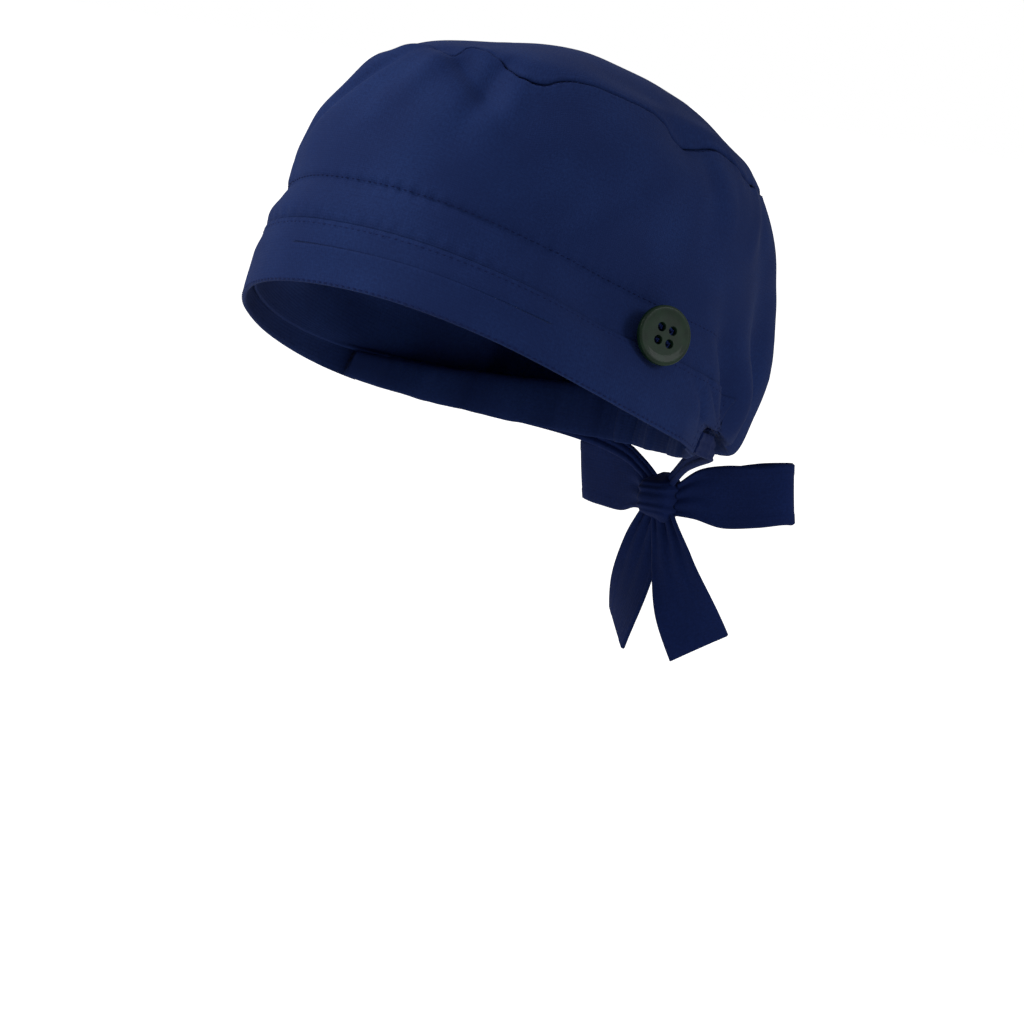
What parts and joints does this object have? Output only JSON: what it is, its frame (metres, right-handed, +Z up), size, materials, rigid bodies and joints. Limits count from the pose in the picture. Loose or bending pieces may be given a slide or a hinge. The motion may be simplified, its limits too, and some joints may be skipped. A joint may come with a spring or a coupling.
{
  "type": "tie-back scrub cap",
  "caption": "Soft cloth surgical cap in its worn form: a gathered crown with a front band, a nape casing, ties in a bow and a button at each side for ear loops.",
  "frame": {"origin": "middle of the head opening at ear height, where the cap sits on a head", "axes": "+X to the wearer's left, -Y to the forehead, +Y to the nape, +Z up through the crown"},
  "size_m": [0.1841, 0.2348, 0.2336],
  "materials": {
    "navy_cloth": "matt plain-woven cotton and polyester",
    "navy_tie_cloth": "matt plain-woven cotton and polyester",
    "green_button": "satin moulded plastic",
    "navy_thread": "matt sewing thread"
  },
  "bodies": {
    "root": {"crown_side": "navy_cloth", "crown_top": "navy_cloth", "band": "navy_cloth", "nape_casing": "navy_cloth", "tie_left": "navy_tie_cloth", "tie_right": "navy_tie_cloth", "bow_knot": "navy_tie_cloth", "bow_loop_left": "navy_tie_cloth", "bow_loop_right": "navy_tie_cloth", "bow_tail_left": "navy_tie_cloth", "bow_tail_right": "navy_tie_cloth", "button_left": "green_button", "button_right": "green_button", "button_thread_left": "navy_thread", "button_thread_right": "navy_thread"}
  },
  "joints": []
}
